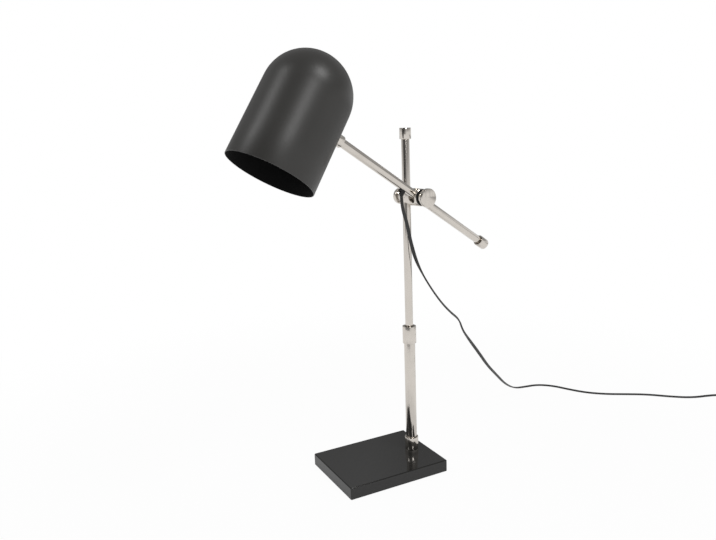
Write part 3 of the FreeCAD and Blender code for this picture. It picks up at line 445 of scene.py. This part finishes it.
height_ring = [(COLLAR_BORE, RING_FOOT), (COLLAR_RADIUS, RING_FOOT), (COLLAR_RADIUS, RING_TOP),
               (LIP_BORE, RING_TOP), (LIP_BORE, RING_LIP), (COLLAR_BORE, RING_LIP)]
upper_tube = [(TUBE_BORE, UPPER_FOOT), (TUBE_RADIUS, UPPER_FOOT), (TUBE_RADIUS, UPPER_TOP),
              (TUBE_BORE, UPPER_TOP)]
end_cap = [(0, 0), (CAP_RADIUS, 0), (CAP_RADIUS, CAP_LENGTH), (CAP_MOUTH, CAP_LENGTH),
           (CAP_BORE, CAP_LENGTH - MOUTH_DEPTH), (CAP_BORE, CAP_CROWN), (0, CAP_CROWN)]
FLIP = Matrix.Rotation(pi, 4, "X")
CAP_ON_POST = POST @ Matrix.Translation((0, 0, UPPER_TOP + CAP_CROWN)) @ FLIP
turned_piece("height_ring", height_ring, turned_nickel, "height_collar", POST, "height_collar", edge=0.7)
turned_piece("upper_post_tube", upper_tube, drawn_nickel, "upper_post", POST, "upper_tube", edge=0.2)
turned_piece("post_cap", end_cap, turned_nickel, "upper_post", CAP_ON_POST, "top_cap", edge=0.8)


# ---- The cross clamp. A short bar bored across for the post, with a barrel in its wider
# front half that carries the arm. Curved windows in its sides let the arm tilt; the knob
# behind locks it on the post, and the knob in front locks the arm.
def smooth_copy(node, material, body, sharp=30, fit=Matrix()):
    """Copy a drawn part with its facets merged, so that its round faces look round. The
    fit, in metres, can move or shrink the copy."""
    shape = bmesh.new()
    shape.from_mesh(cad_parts[node].data)
    bmesh.ops.remove_doubles(shape, verts=shape.verts, dist=1e-6)
    bmesh.ops.transform(shape, matrix=fit, verts=shape.verts)
    piece = make_piece("smooth_" + node, shape, material, body, scale=1.0, sharp=sharp)
    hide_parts(node)


def pressed_fibre():
    """Vulcanised fibre: dense reddish card, matt, with faint layers."""
    material, tree, spot = new_finish("vulcanised_fibre")
    layers = add_node(tree, "ShaderNodeTexNoise", {"Vector": spot, "Scale": 2.0, "Detail": 5.0})
    tone = add_node(tree, "ShaderNodeMixRGB", {"Fac": layers.outputs["Fac"], "Color1": colour("#5a241b"),
                                               "Color2": colour("#74372a")})
    close_finish(tree, Base_Color=tone.outputs["Color"], Roughness=0.7, IOR=1.5)
    return material


CLAMP_HEIGHT = 418
CLAMP_SWIVEL = 8.2           # degrees

CLAMP = Matrix.Translation((POST_X, 0, CLAMP_HEIGHT)) @ Matrix.Rotation(radians(CLAMP_SWIVEL), 4, "Z")
ALONG_CLAMP = CLAMP @ Matrix.Rotation(radians(90), 4, "X")
clamp_nickel = polished_nickel("nickel_plate_clamp", ALONG_CLAMP, "turned")


def clamp_housing():
    """The clamp body, swollen in front into a housing round the arm."""
    back, front = 5.0, 13.0  # the swelling grows between these, from the post forwards
    cuts = 5
    growth = 0.172           # of the radius
    hole_reach = 9.5         # what lies nearer the axis is a bore, and keeps its size
    shape = bmesh.new()
    shape.from_mesh(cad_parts["clamp_body"].data)
    bmesh.ops.remove_doubles(shape, verts=shape.verts, dist=1e-6)
    bmesh.ops.transform(shape, matrix=ALONG_CLAMP.inverted() @ Matrix.Scale(1000, 4), verts=shape.verts)
    for step in range(cuts):
        height = back + (front - back) * step / (cuts - 1)
        bmesh.ops.bisect_plane(shape, geom=shape.verts[:] + shape.edges[:] + shape.faces[:],
                               plane_co=(0, 0, height), plane_no=(0, 0, 1))
    for vert in shape.verts:
        if hypot(vert.co.x, vert.co.y) > hole_reach:
            part = min(max((vert.co.z - back) / (front - back), 0.0), 1.0)
            swell = 1 + growth * part * part * (3 - 2 * part)
            vert.co.x *= swell
            vert.co.y *= swell
    return shape


# Heights along the clamp run from the middle of the post forwards.
BUSH_HALF = 8
BUSH_RADIUS = 6.9
WASHER_RADIUS = 11.8
WASHER_BORE = 4.5
WASHER_BACK = 35.2
WASHER_FRONT = 36.8
SCREW_RADIUS = 4             # of the shanks under both knobs
REAR_KNOB_RADIUS = 11.7
REAR_KNOB_FACE = -17
REAR_KNOB_SHOULDER = -11.6
REAR_SCREW_END = -7.3
FRONT_KNOB_RADIUS = 13.6
FRONT_KNOB_FACE = 50
FRONT_KNOB_SHOULDER = 44
NECK_RADIUS = 10.8
NECK_BACK = 37.1
FRONT_SCREW_END = 32.4

clamp_bush = [(CAP_BORE, -BUSH_HALF), (BUSH_RADIUS, -BUSH_HALF), (BUSH_RADIUS, BUSH_HALF),
              (CAP_BORE, BUSH_HALF)]
knob_washer = [(WASHER_BORE, WASHER_BACK), (WASHER_RADIUS, WASHER_BACK), (WASHER_RADIUS, WASHER_FRONT),
               (WASHER_BORE, WASHER_FRONT)]
rear_knob = [(0, REAR_KNOB_FACE), (REAR_KNOB_RADIUS, REAR_KNOB_FACE),
             (REAR_KNOB_RADIUS, REAR_KNOB_SHOULDER), (SCREW_RADIUS, REAR_KNOB_SHOULDER),
             (SCREW_RADIUS, REAR_SCREW_END), (0, REAR_SCREW_END)]
front_knob = [(0, FRONT_KNOB_FACE), (FRONT_KNOB_RADIUS, FRONT_KNOB_FACE),
              (FRONT_KNOB_RADIUS, FRONT_KNOB_SHOULDER), (NECK_RADIUS, FRONT_KNOB_SHOULDER),
              (NECK_RADIUS, NECK_BACK), (SCREW_RADIUS, NECK_BACK), (SCREW_RADIUS, FRONT_SCREW_END),
              (0, FRONT_SCREW_END)]
housing = make_piece("clamp_housing", clamp_housing(), clamp_nickel, "clamp", ALONG_CLAMP,
                     sharp=30)
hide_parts("clamp_body")
smooth_copy("arm_barrel", clamp_nickel, "barrel")
turned_piece("clamp_bush", clamp_bush, nylon, "clamp_slider", CLAMP, "clamp_liner", edge=0.1)
make_piece("knob_washer", turn(knob_washer), nylon, "clamp", ALONG_CLAMP)
refinish(pressed_fibre(), "tilt_washer")
turned_piece("rear_thumb_knob", rear_knob, clamp_nickel, "rear_knob", ALONG_CLAMP, "rear_knob", edge=0.8)
turned_piece("front_thumb_knob", front_knob, clamp_nickel, "front_knob", ALONG_CLAMP, "front_knob",
             edge=0.8)


# ---- The arm. The same drawn tube as the upper post, with a turned cap on its free end
# and a turned ferrule at the shade, tapped for the hollow nipple that holds the shade. The
# cord leaves it through a rubber grommet beside the clamp.
def moulded_rubber():
    """Black rubber: very dull, with the soft grain of its mould."""
    material, tree, spot = new_finish("moulded_rubber")
    grain = add_node(tree, "ShaderNodeTexNoise", {"Vector": spot, "Scale": 3.0, "Detail": 3.0})
    tone = add_node(tree, "ShaderNodeMixRGB", {"Fac": grain.outputs["Fac"], "Color1": colour("#0c0c0c"),
                                               "Color2": colour("#171717")})
    relief = add_node(tree, "ShaderNodeBump", {"Height": grain.outputs["Fac"], "Strength": 0.3,
                                               "Distance": 0.0001})
    close_finish(tree, Base_Color=tone.outputs["Color"], Roughness=0.7, IOR=1.52,
                 Normal=relief.outputs["Normal"])
    return material


ARM_OFFSET = 26              # in front of the post
ARM_TILT = 32.3              # degrees
ARM_FREE_END = 157.9
ARM_SHADE_END = -163.7
FERRULE_FACE = -168.7
FERRULE_BACK = -155
FERRULE_MOUTH = 6.7          # what its bore opens out to

ARM = (CLAMP @ Matrix.Translation((0, -ARM_OFFSET, 0))
       @ Matrix.Rotation(radians(ARM_TILT), 4, "Y"))
ALONG_ARM = ARM @ Matrix.Rotation(radians(90), 4, "Y")
CAP_ON_ARM = ALONG_ARM @ Matrix.Translation((0, 0, ARM_FREE_END + CAP_CROWN)) @ FLIP
arm_nickel = polished_nickel("nickel_plate_arm", ALONG_ARM, "drawn")
arm_turned_nickel = polished_nickel("nickel_plate_arm_ends", ALONG_ARM, "turned")
arm_bar = [(TUBE_BORE, ARM_SHADE_END), (TUBE_RADIUS, ARM_SHADE_END), (TUBE_RADIUS, ARM_FREE_END),
           (TUBE_BORE, ARM_FREE_END)]
ferrule = [(TUBE_BORE, FERRULE_FACE), (CAP_RADIUS, FERRULE_FACE), (CAP_RADIUS, FERRULE_BACK),
           (FERRULE_MOUTH, FERRULE_BACK), (TUBE_RADIUS, FERRULE_BACK - MOUTH_DEPTH),
           (TUBE_RADIUS, ARM_SHADE_END), (TUBE_BORE, ARM_SHADE_END)]
turned_piece("arm_bar", arm_bar, arm_nickel, "arm", ALONG_ARM, "arm_tube", edge=0.2)
turned_piece("arm_cap", end_cap, arm_turned_nickel, "arm", CAP_ON_ARM, "arm_end_cap", edge=0.8)
turned_piece("arm_ferrule", ferrule, arm_turned_nickel, "arm", ALONG_ARM, "shade_ferrule", edge=0.5)
refinish(zinc, "shade_nipple", "nipple_washer", "nipple_nut")

# The grommet is smaller than it was drawn and sits closer under the arm. All in metres.
GROMMET = Vector((0.0350, -0.0297, 0.4270))
GROMMET_MOVE = Vector((-0.0017, -0.0003, 0.0016))
GROMMET_SCALE = 0.84
snug = Matrix.Translation(GROMMET + GROMMET_MOVE) @ Matrix.Scale(GROMMET_SCALE, 4)
smooth_copy("cord_grommet", moulded_rubber(), "arm",
            fit=snug @ Matrix.Translation(-GROMMET))


# ---- The shade. A steel cylinder spun with a half-round dome in one piece, opening very
# slightly to a rim that is cut clean; satin black powder coat outside, and inside a black
# lining made darker still with painted shade.
def satin_powder_coat():
    """Black powder coat, satin: a soft sheen with the fine orange peel of baked powder."""
    material, tree, spot = new_finish("satin_black_powder_coat")
    peel = add_node(tree, "ShaderNodeTexNoise", {"Vector": spot, "Scale": 0.9, "Detail": 2.0})
    cloud = add_node(tree, "ShaderNodeTexNoise", {"Vector": spot, "Scale": 0.03, "Detail": 3.0})
    tone = add_node(tree, "ShaderNodeMixRGB", {"Fac": cloud.outputs["Fac"], "Color1": colour("#2b2a28"),
                                               "Color2": colour("#302f2d")})
    dull = add_node(tree, "ShaderNodeMapRange", {"Value": peel.outputs["Fac"], "To Min": 0.36,
                                                 "To Max": 0.44})
    relief = add_node(tree, "ShaderNodeBump", {"Height": peel.outputs["Fac"], "Strength": 0.12,
                                               "Distance": 0.0001})
    close_finish(tree, Base_Color=tone.outputs["Color"], Roughness=dull.outputs["Result"], IOR=1.5,
                 Normal=relief.outputs["Normal"])
    return material


def black_lining_painted_shade():
    """Heat-proof matt black inside the shade: it kills nearly all the light. Its tone is far darker than
    the outside paint: partly black paint, partly painted shade of the hollow.
    """
    material, tree, spot = new_finish("black_lining_painted_shade")
    dust = add_node(tree, "ShaderNodeTexNoise", {"Vector": spot, "Scale": 0.5, "Detail": 5.0})
    # Near-black tones: the lining's black paint, with painted shade of the hollow added.
    tone = add_node(tree, "ShaderNodeMixRGB", {"Fac": dust.outputs["Fac"], "Color1": colour("#040404"),
                                               "Color2": colour("#090909")})
    close_finish(tree, Base_Color=tone.outputs["Color"], Roughness=1.0, IOR=1.45)
    return material


SHADE_REACH = 228            # from the clamp to the shade's axis
SHADE_RADIUS = 59.0
SHADE_WALL = 1
SHADE_RIM = -88
DOME_FOOT = 22
FLARE = 1.2 / 110            # gain in radius from the foot of the dome to the rim
DOME_STEPS = 24

HOLDER = ARM @ Matrix.Translation((-SHADE_REACH, 0, 0))
dome_angles = [radians(90 * step / DOME_STEPS) for step in range(DOME_STEPS + 1)]


def shade_side(radius):
    """Outline of the shade at a radius, from its rim up to the top of the dome."""
    wall = [(radius + FLARE * (DOME_FOOT - height), height) for height in (SHADE_RIM, SHADE_RIM / 2, 0)]
    return wall + [(radius * cos(a), DOME_FOOT + radius * sin(a)) for a in dome_angles]


outside = shade_side(SHADE_RADIUS)
inside = shade_side(SHADE_RADIUS - SHADE_WALL)[::-1]
shade = turn(outside + inside)
for face in shade.faces:
    middle = face.calc_center_median()
    outward = Vector((middle.x, middle.y, max(0.0, middle.z - DOME_FOOT)))
    face.material_index = 0 if face.normal.dot(outward) > 0 or face.normal.z < -0.9 else 1
ease(shade, 0.3)
shade_piece = make_piece("dome_shade", shade, satin_powder_coat(), "shade", HOLDER)
# The inside faces take the black lining, darkened with painted shade.
shade_piece.data.materials.append(black_lining_painted_shade())
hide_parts("shade_shell")


# ---- The lampholder. A bent strap on the nipple carries a moulded black holder; inside it
# are a brass screw shell and a sprung contact on a pale insulating cup.
def moulded_phenolic():
    """Black phenolic moulding: hard and glossy, with a slight ripple from the mould."""
    material, tree, spot = new_finish("moulded_phenolic")
    ripple = add_node(tree, "ShaderNodeTexNoise", {"Vector": spot, "Scale": 0.15, "Detail": 3.0})
    tone = add_node(tree, "ShaderNodeMixRGB", {"Fac": ripple.outputs["Fac"], "Color1": colour("#100f0e"),
                                               "Color2": colour("#191817")})
    gloss = add_node(tree, "ShaderNodeMapRange", {"Value": ripple.outputs["Fac"], "To Min": 0.2,
                                                  "To Max": 0.32})
    close_finish(tree, Base_Color=tone.outputs["Color"], Roughness=gloss.outputs["Result"], IOR=1.6)
    return material


def rolled_brass():
    """Thin rolled brass: yellow metal, lightly tarnished in patches."""
    material, tree, spot = new_finish("rolled_brass")
    tarnish = add_node(tree, "ShaderNodeTexNoise", {"Vector": spot, "Scale": 0.4, "Detail": 5.0})
    tone = add_node(tree, "ShaderNodeMixRGB", {"Fac": tarnish.outputs["Fac"], "Color1": colour("#b98f45"),
                                               "Color2": colour("#d9b467")})
    dull = add_node(tree, "ShaderNodeMapRange", {"Value": tarnish.outputs["Fac"], "To Min": 0.22,
                                                 "To Max": 0.4})
    close_finish(tree, Base_Color=tone.outputs["Color"], Metallic=1.0, Roughness=dull.outputs["Result"])
    return material


def pale_moulding():
    """Cream urea moulding that insulates the contact: smooth, a little waxy."""
    material, tree, spot = new_finish("pale_urea_moulding")
    mottle = add_node(tree, "ShaderNodeTexNoise", {"Vector": spot, "Scale": 0.5, "Detail": 4.0})
    tone = add_node(tree, "ShaderNodeMixRGB", {"Fac": mottle.outputs["Fac"], "Color1": colour("#cfc8b6"),
                                               "Color2": colour("#ddd7c8")})
    close_finish(tree, Base_Color=tone.outputs["Color"], Roughness=0.45, IOR=1.5)
    return material


phenolic = moulded_phenolic()
brass = rolled_brass()
smooth_copy("holder_bracket", zinc, "shade")
refinish(zinc, "holder_nipple", "holder_nut")
smooth_copy("holder_cap", phenolic, "shade")
smooth_copy("holder_sleeve", phenolic, "shade")
smooth_copy("screw_shell", brass, "shade", sharp=50)
smooth_copy("contact_carrier", pale_moulding(), "shade")
refinish(brass, "centre_contact")


# ---- The in-line switch. Two moulded shells screwed together round the cord, with a rocker
# key that stands up at the off end.
def moulded_abs():
    """Black ABS with a fine spark-eroded grain, which makes it satin."""
    material, tree, spot = new_finish("moulded_black_abs")
    grain = add_node(tree, "ShaderNodeTexNoise", {"Vector": spot, "Scale": 3.0, "Detail": 2.0})
    tone = add_node(tree, "ShaderNodeMixRGB", {"Fac": grain.outputs["Fac"], "Color1": colour("#151515"),
                                               "Color2": colour("#1f1f1f")})
    relief = add_node(tree, "ShaderNodeBump", {"Height": grain.outputs["Fac"], "Strength": 0.35,
                                               "Distance": 0.00006})
    close_finish(tree, Base_Color=tone.outputs["Color"], Roughness=0.42, IOR=1.53,
                 Normal=relief.outputs["Normal"])
    return material


abs_black = moulded_abs()
smooth_copy("switch_base", abs_black, "base")
smooth_copy("switch_cover", abs_black, "base")
smooth_copy("switch_rocker", phenolic, "rocker")
refinish(zinc, "switch_screws")


# ---- The cord. Flat twin PVC lead, 5.4 mm wide, that hangs from the grommet under the arm,
# reaches the desk behind the lamp, and runs through its switch to a coil and the plug.
CORD_WIDTH = 5.4
CORD_LIES = 1.5              # height of the axis where the cord lies flat on the desk
COIL_STANDS = 2.8            # and in the coil, where it stands on its edge
SWITCH_MIDDLE = Vector((712.0, -116.0, 4.6))
SWITCH_HALF = 28.0           # half of its length
SWITCH_TURN = -33.0          # degrees, the way the cord runs through it
COIL_GAP = 34.0              # from the switch to the first turn
COIL_TURNS = 3.25
COIL_RADIUS = 35.0
COIL_PITCH = 6.1
STEPS_PER_TURN = 12
PLUG_GAP = 35.4              # from the last turn to the plug
PLUG_HEIGHT = 7.0            # of the cord where it enters the plug


def heading(degrees):
    """Level unit vector that points the given way."""
    return Vector((cos(radians(degrees)), sin(radians(degrees)), 0))


def coil_point(turns):
    """Point of the coil: spiral in, climb a layer where the spiral reverses, spiral out."""
    start = SWITCH_MIDDLE + heading(SWITCH_TURN) * (SWITCH_HALF + COIL_GAP)
    centre = start + heading(SWITCH_TURN + 90) * COIL_RADIUS
    climbed = min(max((turns - COIL_TURNS / 2 + 0.25) / 0.5, 0.0), 1.0)
    reach = COIL_RADIUS - COIL_PITCH * min(turns, COIL_TURNS - turns)
    point = centre + heading(SWITCH_TURN - 90 + 360 * turns) * reach
    point.z = COIL_STANDS + COIL_PITCH * (1 - cos(pi * climbed)) / 2
    return point


# From the grommet down to the desk behind the lamp, then along the desk to the switch.
cord_route = [
    (32.0, -30.2, 424.9), (32.0, -30.2, 408.0), (43.6, -25.2, 381.5), (51.3, -21.7, 352.0),
    (65.5, -15.0, 318.5), (91.5, -2.9, 283.5), (125.0, 12.8, 246.5), (154.0, 26.3, 221.0),
    (180.5, 38.6, 202.0), (191.0, 43.5, 180.0), (212.0, 53.3, 157.0), (245.0, 68.7, 122.5),
    (275.5, 82.9, 89.0), (306.0, 97.1, 62.0), (342.0, 113.9, 30.0), (378.0, 129.5, 9.0),
    (411.0, 139.0, CORD_LIES), (441.0, 134.0, CORD_LIES), (463.0, 112.0, CORD_LIES),
    (475.0, 82.0, CORD_LIES), (491.0, 51.0, CORD_LIES), (517.0, 25.0, CORD_LIES),
    (549.0, 4.0, CORD_LIES), (580.0, -18.0, CORD_LIES), (606.0, -47.0, CORD_LIES),
    (635.0, -72.0, CORD_LIES)]
switch_run = heading(SWITCH_TURN)
cord_route += [SWITCH_MIDDLE + switch_run * reach
               for reach in (-50.0, -SWITCH_HALF, 0.0, SWITCH_HALF)]
coil_steps = round(COIL_TURNS * STEPS_PER_TURN)
cord_route += [coil_point(step / STEPS_PER_TURN) for step in range(coil_steps + 1)]
plug_run = heading(SWITCH_TURN + 360 * COIL_TURNS)
plug_entry = coil_point(COIL_TURNS) + plug_run * PLUG_GAP
plug_entry.z = PLUG_HEIGHT
cord_route += [plug_entry - plug_run * CORD_WIDTH, plug_entry + plug_run * 4.0]

cord_line = bpy.data.curves.new("cord_line", "CURVE")
cord_line.dimensions = "3D"
cord_line.resolution_u = 12
spline = cord_line.splines.new("NURBS")
spline.points.add(len(cord_route) - 1)
for control, point in zip(spline.points, cord_route):
    control.co = (*(Vector(point) / 1000), 1.0)
spline.order_u = 3
spline.use_endpoint_u = True
line_object = bpy.data.objects.new("cord_line", cord_line)
line_mesh = bpy.data.meshes.new_from_object(line_object)
cord_axis = [vertex.co.copy() for vertex in line_mesh.vertices]
bpy.data.objects.remove(line_object)

# How the flat cord is turned about its own length: distance along it in millimetres, and
# the angle of its width above level. It twists as it hangs, lies flat on the desk, and
# stands on edge in the coil, where it is wound the easy way.
CORD_TWIST = [(0, -85), (60, -62), (150, 45), (290, 45), (380, -35), (450, -20), (560, 0),
              (1045, 0), (1075, 90), (1720, 90), (1760, 0)]


def cord_turn(distance):
    """Angle of the cord's width at a distance along it, eased from entry to entry."""
    for (d0, a0), (d1, a1) in zip(CORD_TWIST, CORD_TWIST[1:]):
        if distance < d1:
            part = max(0.0, (distance - d0) / (d1 - d0))
            return radians(a0 + (a1 - a0) * part * part * (3 - 2 * part))
    return radians(CORD_TWIST[-1][1])


def cord_frames(axis):
    """Matrices that carry a section drawn in XY (width along X) to each point of the axis."""
    frames = []
    travelled = 0.0
    level = Vector((-0.42, 0.91, 0.0))    # until the cord leaves the upright
    for i, point in enumerate(axis):
        ahead = axis[min(i + 1, len(axis) - 1)] - axis[max(i - 1, 0)]
        ahead.normalize()
        side = Vector((0, 0, 1)).cross(ahead)
        if side.length > 0.15:
            level = side.normalized()
        flat = (level - ahead * level.dot(ahead)).normalized()
        upright = ahead.cross(flat)
        if i:
            travelled += (point - axis[i - 1]).length * 1000
        twist = cord_turn(travelled)
        width = flat * cos(twist) + upright * sin(twist)
        thickness = ahead.cross(width)
        station = Matrix((width, thickness, ahead)).transposed().to_4x4()
        station.translation = point
        frames.append(station)
    return frames


def cord_section():
    """Figure of two round cores side by side, joined by a web, in millimetres."""
    core = CORD_WIDTH / 4
    right = [(core + core * cos(radians(a)), core * sin(radians(a))) for a in range(-125, 126, 25)]
    left = [(-x, -y) for x, y in right]
    return right + left


def sweep_section(section, frames):
    """Extrude a closed section from frame to frame into one tube."""
    tube = bmesh.new()
    ring = [tube.verts.new((x / 1000, y / 1000, 0)) for x, y in section]
    first = tube.faces.new(ring)
    bmesh.ops.transform(tube, matrix=frames[0], verts=ring)
    edges = list(first.edges)
    for here, there in zip(frames, frames[1:]):
        grown = bmesh.ops.extrude_edge_only(tube, edges=edges)["geom"]
        ring = [part for part in grown if isinstance(part, bmesh.types.BMVert)]
        edges = [part for part in grown if isinstance(part, bmesh.types.BMEdge)]
        bmesh.ops.transform(tube, matrix=there @ here.inverted(), verts=ring)
    bmesh.ops.edgeloop_fill(tube, edges=edges)
    bmesh.ops.recalc_face_normals(tube, faces=tube.faces)
    return tube


def pvc_sheath():
    """Extruded soft PVC: a dull, slightly uneven skin with faint streaks along the cord."""
    material, tree, spot = new_finish("extruded_pvc")
    mottle = add_node(tree, "ShaderNodeTexNoise", {"Vector": spot, "Scale": 0.25, "Detail": 4.0})
    skin = add_node(tree, "ShaderNodeTexNoise", {"Vector": spot, "Scale": 2.5, "Detail": 2.0})
    tone = add_node(tree, "ShaderNodeMixRGB", {"Fac": mottle.outputs["Fac"], "Color1": colour("#1a1a19"),
                                               "Color2": colour("#242423")})
    dull = add_node(tree, "ShaderNodeMapRange", {"Value": mottle.outputs["Fac"], "To Min": 0.36,
                                                 "To Max": 0.5})
    relief = add_node(tree, "ShaderNodeBump", {"Height": skin.outputs["Fac"], "Strength": 0.25,
                                               "Distance": 0.00005})
    close_finish(tree, Base_Color=tone.outputs["Color"], Roughness=dull.outputs["Result"], IOR=1.52,
                 Normal=relief.outputs["Normal"])
    return material


cord_shape = sweep_section(cord_section(), cord_frames(cord_axis))
cord = make_piece("flat_twin_cord", cord_shape, pvc_sheath(), "base", scale=1.0, sharp=60)
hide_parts("supply_cord", "cord_coil")
refinish(pvc_sheath(), "arm_lead", "holder_lead")


# ---- The plug. A two-blade plug moulded on to the end of the cord, with flat brass blades
# that are drilled near their tips.
smooth_copy("plug_body", abs_black, "base")
refinish(brass, "plug_blades")
